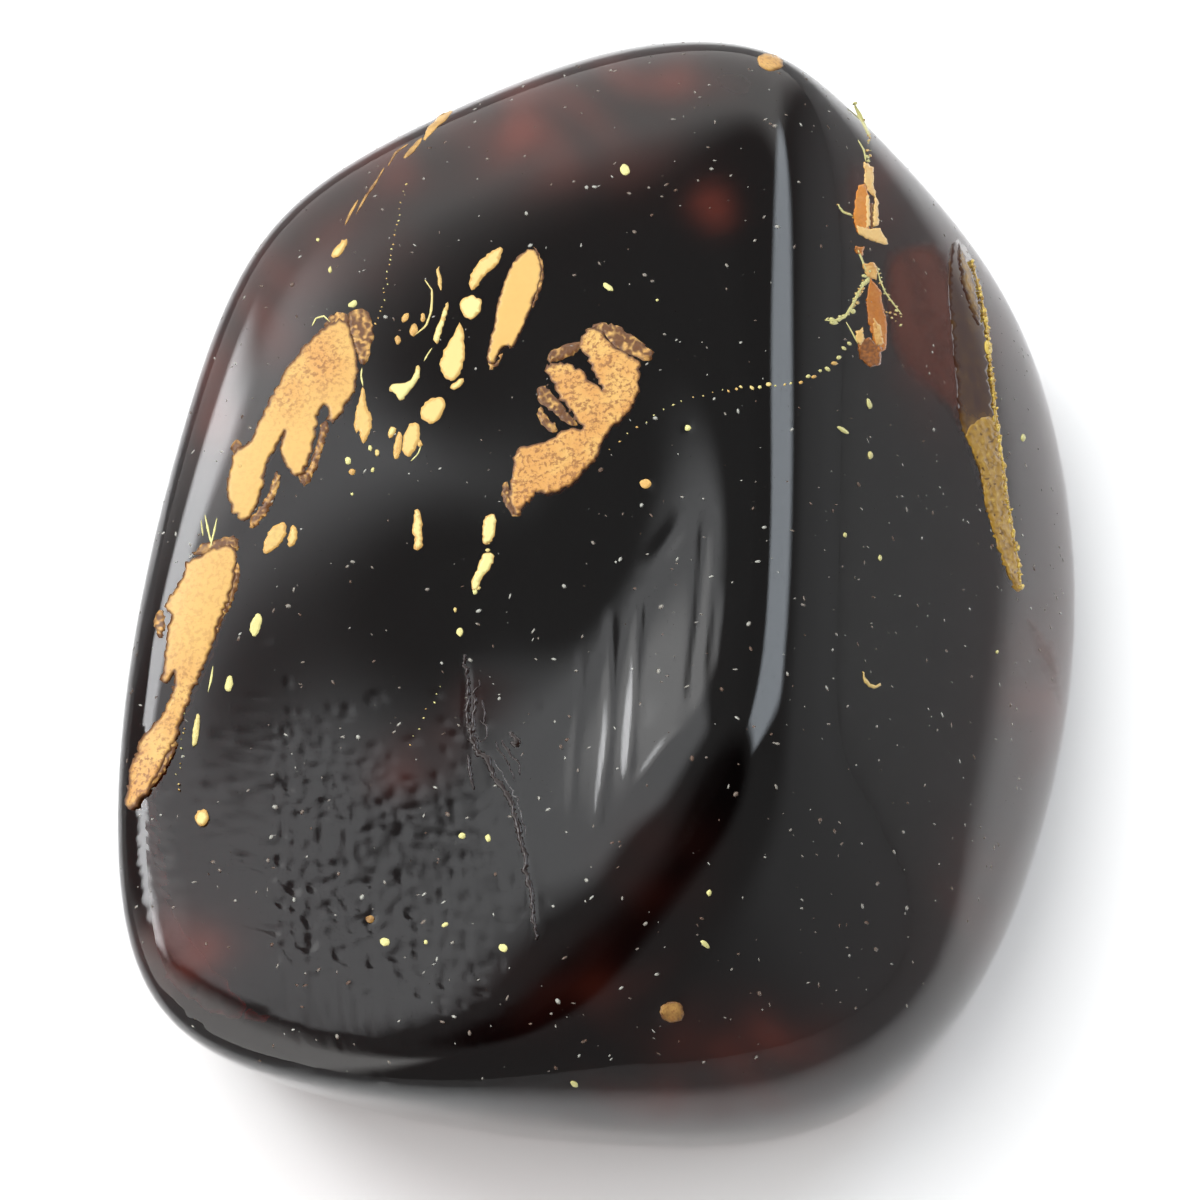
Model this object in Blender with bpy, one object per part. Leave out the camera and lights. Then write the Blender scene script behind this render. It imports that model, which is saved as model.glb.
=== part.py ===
# A polished nugget of dark amber, with cream and golden inclusions that the polish cut through.
# Lengths are written in millimetres and multiplied by MM, because the model is in metres.
# The nugget lies on its flat base: +Z is up, +Y runs along its longer side, and the origin
# is on the base, below the middle of its bounding box.

from collections import namedtuple
from math import radians

import bmesh
import bpy
import numpy as np
from mathutils import Euler, Matrix, Vector

MM = 0.001

# The nugget is a ring of flats ground on a wheel, with every edge between them polished round.
# A flat faces its azimuth, in degrees round from +X, and its elevation, in degrees above level,
# and lies at its distance from the heart of the nugget, which is HEART_HEIGHT above the base.
Flat = namedtuple("Flat", "azimuth elevation distance")
FLATS = {
    "table": Flat(190, 80, 14.5),
    "ridge_flank": Flat(-4, 43, 21.6),
    "right": Flat(9, 0, 40.0),
    "right_front": Flat(-19, -8, 37.4),
    "back_right": Flat(34, 6, 50.4),
    "back_corner": Flat(58, 12, 43.6),
    "back": Flat(100, 15, 52.4),
    "back_bevel": Flat(112, 45, 36.0),
    "back_left": Flat(125, 8, 39.4),
    "left": Flat(167, 0, 31.6),
    "left_low": Flat(187, -5, 35.4),
    "left_front": Flat(214, -12, 53.0),
    "front_left": Flat(237, -20, 43.4),
    "front": Flat(266, -16, 39.2),
    "front_bevel": Flat(250, 38, 46.0),
    "front_right_bevel": Flat(304, 48, 29.5),
    "front_right": Flat(309, -8, 42.2),
    "underside": Flat(0, -90, 18.0),
}
HEART_HEIGHT = 17.0
EDGE_SHARPNESS = 11  # exponent of the blend between flats, crisper when higher

# The surface is shaped from a box of about the nugget's size, with this many cells along each
# axis. The cells are about 2.7 square, and one line of them follows the ridge.
AXES = {"+X": Vector((1, 0, 0)), "+Y": Vector((0, 1, 0)), "+Z": Vector((0, 0, 1))}
AXES.update({"-X": -AXES["+X"], "-Y": -AXES["+Y"], "-Z": -AXES["+Z"]})
BOX_HALF = {"+X": 34, "-X": 34, "+Y": 42, "-Y": 42, "+Z": 17, "-Z": 17}
BOX_CELLS = {"+X": 26, "-X": 26, "+Y": 32, "-Y": 32, "+Z": 12, "-Z": 12}
# Each side of the box by the axes that run across it, up it and out of it.
BOX_SIDES = (
    ("+X", "+Y", "+Z"), ("+Y", "+X", "-Z"), ("+Y", "+Z", "+X"),
    ("+Z", "+Y", "-X"), ("+Z", "+X", "+Y"), ("+X", "+Z", "-Y"),
)
WELD = 0.001  # joins the sides of the box along their edges
SMOOTH_UP_TO = 22  # degrees between two faces, past which the edge of the base is left sharp

# The table is not flat: it is worn into a wide basin at its front left and a narrow scoop along
# the ridge. Each smooth dish has its middle, its half length and half width, its turn in degrees
# and its depth, and a depth below zero is a swell.
Wear = namedtuple("Wear", "x y half_length half_width turn depth")
WORN = {
    "basin": Wear(-17, -19.6, 19.5, 15, 8.5, 2.15),
    "scoop": Wear(3.7, -7.7, 5.6, 13.9, -11, 0.7),
    "front_crest": Wear(-9.8, -39.6, 18.6, 3.7, 5.4, -0.45),
    "shoulder": Wear(6, -20, 10, 9, 0, -1.2),
    "basin_swell": Wear(-14, -20, 10, 9, 0, -0.65),
    "basin_right": Wear(-4, -20, 10, 9, 0, 0.4),
    "basin_front": Wear(-4, -32, 10, 9, 0, 0.4),
    "front_left_dip": Wear(-14, -32, 10, 9, 0, 0.2),
    "table_swell": Wear(-14, -2, 10, 15, 0, -0.45),
    "left_swell": Wear(-24, 8, 10, 14, 0, -0.3),
    "ridge_foot": Wear(6, -8, 10, 9, 0, -0.25),
}
WEAR_FROM = 20.0  # nothing is worn below this height
WEAR_FULL = 26.0  # and from this height up the wear has its full depth

# Each inclusion is a lump that the polish cut through. Its outline is the shape of that cut, in
# millimetres right and up from its anchor on the surface, in a plane that leans over to +X by
# the angle lean. The lump goes straight down by its first depth and rounds off to its second.
Inclusion = namedtuple("Inclusion", "anchor lean straight_depth full_depth material outline")
INCLUSIONS = {
    "cream_inclusion_forked": Inclusion(
        (-21.5, 9, 28.2), -11, 0.8, 4.0, "cream_crust",
        [(4, 8), (4.5, 5.5), (4.5, 2.5), (3, -1), (2, -0.5), (1.5, -3.5), (1, -5), (0, -5),
         (-0.5, -2.5), (-1.5, -4), (-2.5, -8.5), (-3.5, -7.5), (-4.5, -6), (-4, -2.5), (-2, 1),
         (-0.5, 4), (1.5, 6.5), (2.5, 7.5)],
    ),
    "cream_inclusion_edge": Inclusion(
        (-27.8, -8, 26.4), -14, 3.8, 6.5, "cream_crust",
        [(2.5, 7.5), (3, 3.5), (1.5, -0.5), (0, -5), (-2, -9), (-4, -11.5), (-6, -11), (-6, -8),
         (-3.5, -6.5), (-1.5, -3.5), (-2, -0.5), (-1.5, 2), (-0.5, 5), (1, 6.5)],
    ),
    "cream_inclusion_notched": Inclusion(
        (-1, 7.5, 31.5), -10, 1.0, 4.0, "cream_crust",
        [(1.5, 6.5), (3, 4.5), (4.5, 3), (4, 0.5), (1.5, -2), (1, -4), (-0.5, -5.5), (-3.5, -6.5),
         (-4.5, -8), (-5, -6.5), (-4.5, -3), (-2, -2), (-0.5, -1), (-1.5, 2), (-2.5, 3.5),
         (0.5, 4.5)],
    ),
    "cream_inclusion_bar": Inclusion(
        (-5.5, 16, 31.2), -10, 0.6, 3.2, "cream_crust",
        [(1, 5), (2, 3), (1.5, 1), (0.5, -2.5), (-0.5, -3.5), (-2, -4.5), (-2, -2.5),
         (-1.5, 0.5), (-0.5, 3.5)],
    ),
    "golden_vein": Inclusion(
        (28.5, 14, 18.9), 47, 2.2, 4.0, "golden_vein",
        [(-1, 15), (2.5, 16.5), (2, 10.5), (2, 7), (2.5, 1.5), (3, -2.5), (4.5, -9.5), (5, -12),
         (3, -11.5), (2, -9.5), (0, -5.5), (-2.5, -2), (-3, 4), (-3.5, 9.5)],
    ),
    "golden_flake": Inclusion(
        (20, 26, 28.9), 47, 0.6, 2.0, "golden_flake",
        [(0, 4), (1.5, 4.5), (1, 2), (1.5, 0), (2.5, -2), (-1.5, -3), (-1.5, -1.5), (-1, 1.5)],
    ),
    "orange_flake": Inclusion(
        (20, 17, 28.6), 47, 0.6, 2.0, "orange_flake",
        [(0, 4), (1, 4), (1, 2.5), (2, -0.5), (2, -2.5), (0, -4.5), (-1.5, -4), (-2, -2.5),
         (-0.5, 1)],
    ),
}
LUMP_TOP = 3.0  # a lump is first modelled this far above its anchor, and then cut at the surface
LUMP_ROUNDING = ((0.0, 1.0), (0.5, 0.88), (0.85, 0.64), (1.0, 0.4))  # share of depth, of width
POCKET_GAP = 0.3  # between an inclusion and the amber round it
SHARPEST_CORNER = 1.5  # the most gaps that a sharp corner of a pocket moves out by

# Base colour, roughness and metallic value.
Finish = namedtuple("Finish", "colour roughness metallic")
FINISHES = {
    "dark_amber": Finish((0.022, 0.008, 0.005), 0.06, 0.0),
    "cream_crust": Finish((0.93, 0.60, 0.22), 0.5, 0.0),
    "golden_vein": Finish((0.45, 0.22, 0.05), 0.35, 0.0),
    "golden_flake": Finish((0.90, 0.55, 0.16), 0.4, 0.0),
    "orange_flake": Finish((0.80, 0.36, 0.10), 0.4, 0.0),
}


def clear_scene():
    for item in list(bpy.data.objects):
        bpy.data.objects.remove(item)


def make_material(name):
    finish = FINISHES[name]
    material = bpy.data.materials.new(name)
    material.use_nodes = True
    shader = material.node_tree.nodes["Principled BSDF"]
    shader.inputs["Base Color"].default_value = (*finish.colour, 1.0)
    shader.inputs["Roughness"].default_value = finish.roughness
    shader.inputs["Metallic"].default_value = finish.metallic
    return material


def facing(azimuth, elevation):
    # The unit vector that points along an azimuth and an elevation.
    turn = Euler((0, -radians(elevation), radians(azimuth)))
    return turn.to_matrix() @ Vector((1, 0, 0))


def reach_of_flats(directions):
    # How far the nugget reaches from its heart along each direction. With an endless exponent
    # this is the nearest flat; a lower one rounds the edges where two flats are about as near.
    normals = np.array([facing(flat.azimuth, flat.elevation) for flat in FLATS.values()])
    distances = np.array([flat.distance for flat in FLATS.values()])
    nearness = np.clip(directions @ normals.T, 0, None) / distances
    return (nearness ** EDGE_SHARPNESS).sum(axis=1) ** (-1 / EDGE_SHARPNESS)


def wear_top(points):
    # Lowers the top by each smooth dish, and raises it by each swell.
    fade = np.clip((points[:, 2] - WEAR_FROM) / (WEAR_FULL - WEAR_FROM), 0, 1)
    fade = fade * fade * (3 - 2 * fade)
    for wear in WORN.values():
        turn = radians(wear.turn)
        right = points[:, 0] - wear.x
        away = points[:, 1] - wear.y
        along = (right * np.cos(turn) + away * np.sin(turn)) / wear.half_length
        across = (away * np.cos(turn) - right * np.sin(turn)) / wear.half_width
        points[:, 2] -= fade * wear.depth * np.exp(-along ** 2 - across ** 2)


def grind_base(shape):
    # Takes off everything below the base plane, which leaves one flat face to rest on.
    everything = [*shape.verts, *shape.edges, *shape.faces]
    cut = bmesh.ops.bisect_plane(
        shape, geom=everything, plane_co=(0, 0, 0), plane_no=(0, 0, -1), clear_outer=True
    )
    rim = [part for part in cut["geom_cut"] if isinstance(part, bmesh.types.BMEdge)]
    bmesh.ops.holes_fill(shape, edges=rim)


def add_side(shape, across, up, out):
    # One side of the box, as a grid of cells that faces outwards.
    frame = Matrix.Identity(4)
    for column, axis in enumerate((across, up, out)):
        frame.col[column] = (*(AXES[axis] * BOX_HALF[axis]), 0)
    frame.col[3] = (*(AXES[out] * BOX_HALF[out]), 1)
    bmesh.ops.create_grid(
        shape, x_segments=BOX_CELLS[across], y_segments=BOX_CELLS[up], size=1, matrix=frame
    )


def nugget_shape():
    # The whole polished nugget, in millimetres, with no pockets: a box of about its size, each
    # point of which moves straight out from the heart, or in, to the polished surface.
    shape = bmesh.new()
    for across, up, out in BOX_SIDES:
        add_side(shape, across, up, out)
    bmesh.ops.remove_doubles(shape, verts=shape.verts, dist=WELD)
    directions = np.array([corner.co.normalized() for corner in shape.verts])
    points = directions * reach_of_flats(directions)[:, None]
    points[:, 2] += HEART_HEIGHT
    wear_top(points)
    for corner, point in zip(shape.verts, points):
        corner.co = point
    grind_base(shape)
    return shape


def middle_in_plan(shape):
    # The middle of the bounding box, seen from above: the model's origin is below it.
    corners = np.array([corner.co for corner in shape.verts])
    middle = (corners.min(axis=0) + corners.max(axis=0)) / 2
    return Vector((middle[0], middle[1], 0))


def widened(outline, gap):
    # The outline moved outwards by the gap, each corner along its own bisector.
    corners = [Vector(corner) for corner in outline]
    clockwise = sum(a.cross(b) for a, b in zip(corners, corners[1:] + corners[:1])) < 0
    outwards = -1 if clockwise else 1
    moved = []
    for i, corner in enumerate(corners):
        before = (corner - corners[i - 1]).normalized()
        after = (corners[(i + 1) % len(corners)] - corner).normalized()
        bisector = Vector((before.y + after.y, -before.x - after.x)) * outwards
        stretch = min(2 / bisector.length, SHARPEST_CORNER)
        moved.append(corner + bisector.normalized() * gap * stretch)
    return moved


def lump_rings(inclusion, gap):
    # The lump's cross-sections from top to bottom, as corners in its own leaning plane.
    heights_and_widths = [(LUMP_TOP, 1.0)]
    tapered = inclusion.full_depth - inclusion.straight_depth
    for share, width in LUMP_ROUNDING:
        heights_and_widths.append((-inclusion.straight_depth - tapered * share, width))
    lowest = heights_and_widths[-1][0]
    for height, width in heights_and_widths:
        scaled = [(right * width, up * width) for right, up in inclusion.outline]
        drop = gap if height == lowest else 0
        yield [Vector((*corner, height - drop)) for corner in widened(scaled, gap)]


def lump_shape(inclusion, gap):
    # A closed lump round its anchor, in millimetres, that stands out above the surface.
    shape = bmesh.new()
    rings = [[shape.verts.new(corner) for corner in ring] for ring in lump_rings(inclusion, gap)]
    for upper, lower in zip(rings, rings[1:]):
        for i in range(len(upper)):
            shape.faces.new((upper[i - 1], upper[i], lower[i], lower[i - 1]))
    shape.faces.new(rings[0])
    shape.faces.new(reversed(rings[-1]))
    bmesh.ops.recalc_face_normals(shape, faces=shape.faces)
    return shape


def add_object(name, shape, place, material=None):
    # An object with its mesh in metres, put at its place in millimetres. With no material it
    # is a helper that shows as a wire only.
    mesh = bpy.data.meshes.new(name)
    bmesh.ops.scale(shape, vec=(MM, MM, MM), verts=shape.verts)
    shape.to_mesh(mesh)
    shape.free()
    item = bpy.data.objects.new(name, mesh)
    item.location = place * MM
    bpy.context.scene.collection.objects.link(item)
    if material is None:
        item.hide_render = True
        item.display_type = "WIRE"
    else:
        mesh.materials.append(material)
    return item


def add_boolean(item, other, operation):
    modifier = item.modifiers.new(other.name, "BOOLEAN")
    modifier.operation = operation
    modifier.solver = "EXACT"
    modifier.object = other


def make_inclusion(name, inclusion, middle, material, amber, polished_surface):
    # A lump cut off at the polished surface, in a pocket of the amber that is a little wider.
    place = Vector(inclusion.anchor) - middle
    pocket = add_object(name + "_pocket", lump_shape(inclusion, POCKET_GAP), place)
    lump = add_object(name, lump_shape(inclusion, 0), place, material)
    for item in (pocket, lump):
        item.rotation_euler.y = radians(inclusion.lean)
    add_boolean(amber, pocket, "DIFFERENCE")
    add_boolean(lump, polished_surface, "INTERSECT")


def main():
    clear_scene()
    nugget = nugget_shape()
    middle = middle_in_plan(nugget)
    polished_surface = add_object("polished_surface", nugget.copy(), -middle)
    amber = add_object("amber", nugget, -middle, make_material("dark_amber"))
    amber.data.shade_smooth()
    amber.data.set_sharp_from_angle(angle=radians(SMOOTH_UP_TO))
    used = {inclusion.material for inclusion in INCLUSIONS.values()}
    materials = {name: make_material(name) for name in sorted(used)}
    for name, inclusion in INCLUSIONS.items():
        material = materials[inclusion.material]
        make_inclusion(name, inclusion, middle, material, amber, polished_surface)


main()
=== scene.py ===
# A polished nugget of dark amber on white paper, with the inclusions that the polish cut through.
# Places on the stone are written as the camera sees them, on a picture 1200 units wide and high,
# and are traced onto the polished surface. Lengths are in millimetres until mm turns them to metres.
import bpy
import bmesh
import numpy as np
from mathutils import Matrix, Vector, geometry


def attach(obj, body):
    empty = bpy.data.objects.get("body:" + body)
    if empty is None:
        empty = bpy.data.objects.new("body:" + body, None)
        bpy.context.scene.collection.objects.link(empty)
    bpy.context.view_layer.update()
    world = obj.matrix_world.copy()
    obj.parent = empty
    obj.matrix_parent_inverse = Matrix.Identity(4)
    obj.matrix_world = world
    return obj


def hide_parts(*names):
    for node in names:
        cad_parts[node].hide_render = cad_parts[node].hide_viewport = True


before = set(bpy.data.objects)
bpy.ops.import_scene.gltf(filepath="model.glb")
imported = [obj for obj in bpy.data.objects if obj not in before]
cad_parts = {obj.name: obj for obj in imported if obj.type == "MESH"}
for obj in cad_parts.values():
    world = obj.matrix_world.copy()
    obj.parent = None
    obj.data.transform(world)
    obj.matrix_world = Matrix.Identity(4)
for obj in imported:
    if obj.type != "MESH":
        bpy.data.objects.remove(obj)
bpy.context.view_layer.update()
scene = bpy.context.scene
mm = 0.001
rng = np.random.default_rng(7)

# the ground flats of the CAD part: azimuth, elevation, distance from the heart of the stone
flats = {
    "table": (190, 80, 14.5), "ridgeFlank": (-4, 43, 21.6), "right": (9, 0, 40.0),
    "rightFront": (-19, -8, 37.4), "backRight": (34, 6, 50.4), "backCorner": (58, 12, 43.6),
    "back": (100, 15, 52.4), "backBevel": (112, 45, 36.0), "backLeft": (125, 8, 39.4),
    "left": (167, 0, 31.6), "leftLow": (187, -5, 35.4), "leftFront": (214, -12, 53.0),
    "frontLeft": (237, -20, 43.4), "front": (266, -16, 39.2), "frontBevel": (250, 38, 46.0),
    "frontRightBevel": (304, 48, 29.5), "frontRight": (309, -8, 42.2), "underside": (0, -90, 18.0),
}
heart = np.array((0.0, 0.0, 17.0))
planMiddle = np.array((2.048, 4.3255, 0.0))  # from the heart to the middle of the box, in plan
edgeSharpness = 11
# smooth dishes worn into the table: x, y, half length, half width, turn, depth (below zero a swell)
worn = {
    "basin": (-17, -19.6, 19.5, 15, 8.5, 2.15),
    "scoop": (3.7, -7.7, 5.6, 13.9, -11, 0.7),
    "frontCrest": (-9.8, -39.6, 18.6, 3.7, 5.4, -0.45),
    "shoulder": (6, -20, 10, 9, 0, -1.2),
    "basinSwell": (-14, -20, 10, 9, 0, -0.65),
    "basinRight": (-4, -20, 10, 9, 0, 0.4),
    "basinFront": (-4, -32, 10, 9, 0, 0.4),
    "frontLeftDip": (-14, -32, 10, 9, 0, 0.2),
    "tableSwell": (-14, -2, 10, 15, 0, -0.45),
    "leftSwell": (-24, 8, 10, 14, 0, -0.3),
    "ridgeFoot": (6, -8, 10, 9, 0, -0.25),
}


def direction(azimuth, elevation):
    a, e = np.radians(azimuth), np.radians(elevation)
    return np.array((np.cos(a) * np.cos(e), np.sin(a) * np.cos(e), np.sin(e)))


flatNormals = np.array([direction(a, e) for a, e, d in flats.values()])
flatDistances = np.array([d for a, e, d in flats.values()], float)


def reach(directions):
    near = np.clip(directions @ flatNormals.T, 0, None) / flatDistances
    return (near ** edgeSharpness).sum(-1) ** (-1 / edgeSharpness)


def smoothStep(value, low, high):
    share = np.clip((value - low) / (high - low), 0, 1)
    return share * share * (3 - 2 * share)


def dish(points, x, y, halfLength, halfWidth, turn):
    t = np.radians(turn)
    right, away = points[..., 0] - x, points[..., 1] - y
    along = (right * np.cos(t) + away * np.sin(t)) / halfLength
    across = (away * np.cos(t) - right * np.sin(t)) / halfWidth
    return np.exp(-along ** 2 - across ** 2)


def wornDepth(points):
    depth = sum(d * dish(points, x, y, l, w, t) for x, y, l, w, t, d in worn.values())
    return depth * smoothStep(points[..., 2], 20, 26)


def outsideBy(points):
    # how far points lie outside the stone, in mm; below zero inside it
    lifted = points.copy()
    lifted[..., 2] += wornDepth(points)
    lifted = lifted - heart
    length = np.linalg.norm(lifted, axis=-1) + 1e-9
    return np.maximum(length - reach(lifted / length[..., None]), -points[..., 2])


# the camera, which looks along +Y and down
view = {"elevation": 62, "target": (0.5, 0.0, 17.0), "distance": 260.0, "unit": 0.0725, "width": 1200}
e = np.radians(view["elevation"])
viewBack = np.array((0, -np.cos(e), np.sin(e)))
viewRight = np.array((1.0, 0, 0))
viewUp = np.cross(viewBack, viewRight)
eye = np.array(view["target"]) + viewBack * view["distance"]
focal = view["distance"] / view["unit"]
middle = view["width"] / 2


def onStone(places):
    # the points of the polished surface that the camera sees at these places, and their normals
    places = np.atleast_2d(np.array(places, float))
    right, down = (places[:, k:k + 1] - middle for k in (0, 1))
    rays = right / focal * viewRight - down / focal * viewUp - viewBack
    rays /= np.linalg.norm(rays, axis=1, keepdims=True)
    best = np.full(len(rays), view["distance"] + 40.0)
    found = np.zeros(len(rays), bool)
    closest = np.full(len(rays), 1e9)
    stride = 2.0
    for step in np.arange(view["distance"] - 60, view["distance"] + 60, stride):
        off = outsideBy(eye + rays * step)
        fresh = (off < 0) & ~found
        nearer = (off < closest) & ~found
        best[nearer] = step
        closest[nearer] = off[nearer]
        found |= fresh
    low, high = best - stride, best.copy()
    for k in range(14):
        half = (low + high) / 2
        inside = outsideBy(eye + rays * half[:, None]) < 0
        high = np.where(inside, half, high)
        low = np.where(inside, low, half)
    hit = eye + rays * np.where(found, high, best)[:, None]
    return hit, normalsAt(hit)


def onPicture(points):
    # where the camera sees points, and whether they face it
    away = points - eye
    depth = -(away @ viewBack)
    right, up = (focal * (away @ axis) / depth for axis in (viewRight, viewUp))
    return np.stack((middle + right, middle - up), -1), normalsAt(points) @ viewBack > 0.05


def normalsAt(points):
    slope = []
    for axis in np.eye(3) * 0.05:
        slope.append(outsideBy(points + axis) - outsideBy(points - axis))
    slope = np.stack(slope, -1)
    return slope / np.linalg.norm(slope, axis=-1, keepdims=True)


class Shade:
    # a shader socket that takes part in sums, for short material maths

    def __init__(self, tree, socket):
        self.tree, self.socket = tree, socket

    def math(self, operation, *others, clamp=False):
        node = self.tree.nodes.new("ShaderNodeMath")
        node.operation, node.use_clamp = operation, clamp
        for slot, value in zip(node.inputs, (self, *others)):
            feed(self.tree, slot, value)
        return Shade(self.tree, node.outputs[0])

    def __add__(self, other):
        return self.math("ADD", other)

    def __sub__(self, other):
        return self.math("SUBTRACT", other)

    def __mul__(self, other):
        return self.math("MULTIPLY", other)

    def __rsub__(self, other):
        return (self * -1.0) + other

    __radd__, __rmul__ = __add__, __mul__

    def between(self, low, high):
        # 0 below low, 1 above high, smooth between
        node = self.tree.nodes.new("ShaderNodeMapRange")
        node.interpolation_type = "SMOOTHSTEP"
        for slot, value in zip(node.inputs, (self, low, high)):
            feed(self.tree, slot, value)
        return Shade(self.tree, node.outputs[0])


def feed(tree, socket, value):
    if isinstance(value, Shade):
        tree.links.new(value.socket, socket)
    elif isinstance(value, (tuple, list)) and len(value) == 3 and socket.type == "RGBA":
        socket.default_value = (*value, 1.0)
    else:
        socket.default_value = value


class Finish:
    # a material under construction

    def __init__(self, name):
        self.material = bpy.data.materials.new(name)
        self.material.use_nodes = True
        self.tree = self.material.node_tree
        self.shader = self.tree.nodes["Principled BSDF"]
        self.output = self.tree.nodes["Material Output"]

    def node(self, kind, settings=None, out=0, **values):
        made = self.tree.nodes.new(kind)
        for key, value in (settings or {}).items():
            setattr(made, key, value)
        for key, value in values.items():
            feed(self.tree, made.inputs[key.replace("_", " ")], value)
        return Shade(self.tree, made.outputs[out])

    def place(self):
        return self.node("ShaderNodeTexCoord", out="Object")

    def noise(self, scale, detail=3.0, roughness=0.5):
        return self.node("ShaderNodeTexNoise", Vector=self.place(), Scale=scale, Detail=detail,
                         Roughness=roughness)

    def attribute(self, name):
        return self.node("ShaderNodeAttribute", {"attribute_name": name}, out="Fac")

    def mix(self, share, first, second):
        made = self.tree.nodes.new("ShaderNodeMix")
        made.data_type = "RGBA"
        feed(self.tree, made.inputs[0], share)
        feed(self.tree, made.inputs[6], first)
        feed(self.tree, made.inputs[7], second)
        return Shade(self.tree, made.outputs[2])

    def ramp(self, tone, colours):
        # each whole step of the tone leads to the next colour
        colour = colours[0]
        for k, other in enumerate(colours[1:]):
            colour = self.mix(tone.between(k, k + 1.0), colour, other)
        return colour

    def bump(self, height, strength):
        return self.node("ShaderNodeBump", Height=height, Distance=0.0001, Strength=strength)

    def join(self, share, other):
        # a second shader over the first one, by its share
        made = self.tree.nodes.new("ShaderNodeMixShader")
        feed(self.tree, made.inputs[0], share)
        self.tree.links.new(self.shader.outputs[0], made.inputs[1])
        feed(self.tree, made.inputs[2], other)
        self.tree.links.new(made.outputs[0], self.output.inputs["Surface"])

    def set(self, **values):
        for key, value in values.items():
            feed(self.tree, self.shader.inputs[key.replace("_", " ")], value)
        return self.material


def faceOut(mesh):
    shape = bmesh.new()
    shape.from_mesh(mesh)
    bmesh.ops.recalc_face_normals(shape, faces=shape.faces)
    shape.to_mesh(mesh)
    shape.free()


def setValue(mesh, name, values):
    mesh.attributes.new(name, "FLOAT", "POINT").data.foreach_set("value", np.asarray(values, np.float32))


def addObject(name, data):
    made = bpy.data.objects.new(name, data)
    scene.collection.objects.link(made)
    return made


def addPiece(name, points, faces, material, slot, replaced=()):
    # points are in the stone's millimetres
    mesh = bpy.data.meshes.new(name)
    places = ((np.asarray(points) - planMiddle) * mm).tolist()
    mesh.from_pydata(places, [], [list(map(int, face)) for face in faces])
    mesh.validate()
    faceOut(mesh)
    mesh.materials.append(material)
    mesh.shade_smooth()
    piece = addObject(name, mesh)
    pieces.append((piece, slot, replaced))
    return piece


pieces = []


def table(rows):
    # rows of numbers, such as the x,y places of a line or an outline on the picture
    return np.array([row.split(",") for row in rows.split()], float)


def rounded(line):
    # a closed line with its corners cut off
    after = np.roll(line, -1, axis=0)
    return np.stack((line * 0.75 + after * 0.25, line * 0.25 + after * 0.75), 1).reshape(-1, 2)


def resampled(line, spacing, closed=True):
    ends = np.vstack((line, line[:1])) if closed else line
    steps = np.linalg.norm(np.diff(ends, axis=0), axis=1)
    along = np.concatenate(([0], np.cumsum(steps)))
    count = max(int(round(along[-1] / spacing)), 4)
    at = np.linspace(0, along[-1], count + 1)
    if closed:
        at = at[:-1]
    return np.stack([np.interp(at, along, ends[:, k]) for k in (0, 1)], 1)


def insideOutline(points, line):
    x, y = points[:, 0], points[:, 1]
    inside = np.zeros(len(points), bool)
    for (x1, y1), (x2, y2) in zip(line, np.roll(line, -1, axis=0)):
        crosses = (y1 > y) != (y2 > y)
        with np.errstate(divide="ignore", invalid="ignore"):
            inside ^= crosses & (x < (x2 - x1) * (y - y1) / (y2 - y1) + x1)
    return inside


def distanceTo(points, line, closed=True):
    ends = np.roll(line, -1, axis=0) if closed else line[1:]
    starts = line if closed else line[:-1]
    best = np.full(len(points), 1e9)
    for a, b in zip(starts, ends):
        span = b - a
        share = np.clip(((points - a) @ span) / max(span @ span, 1e-9), 0, 1)
        best = np.minimum(best, np.linalg.norm(points - a - share[:, None] * span, axis=1))
    return best


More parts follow.
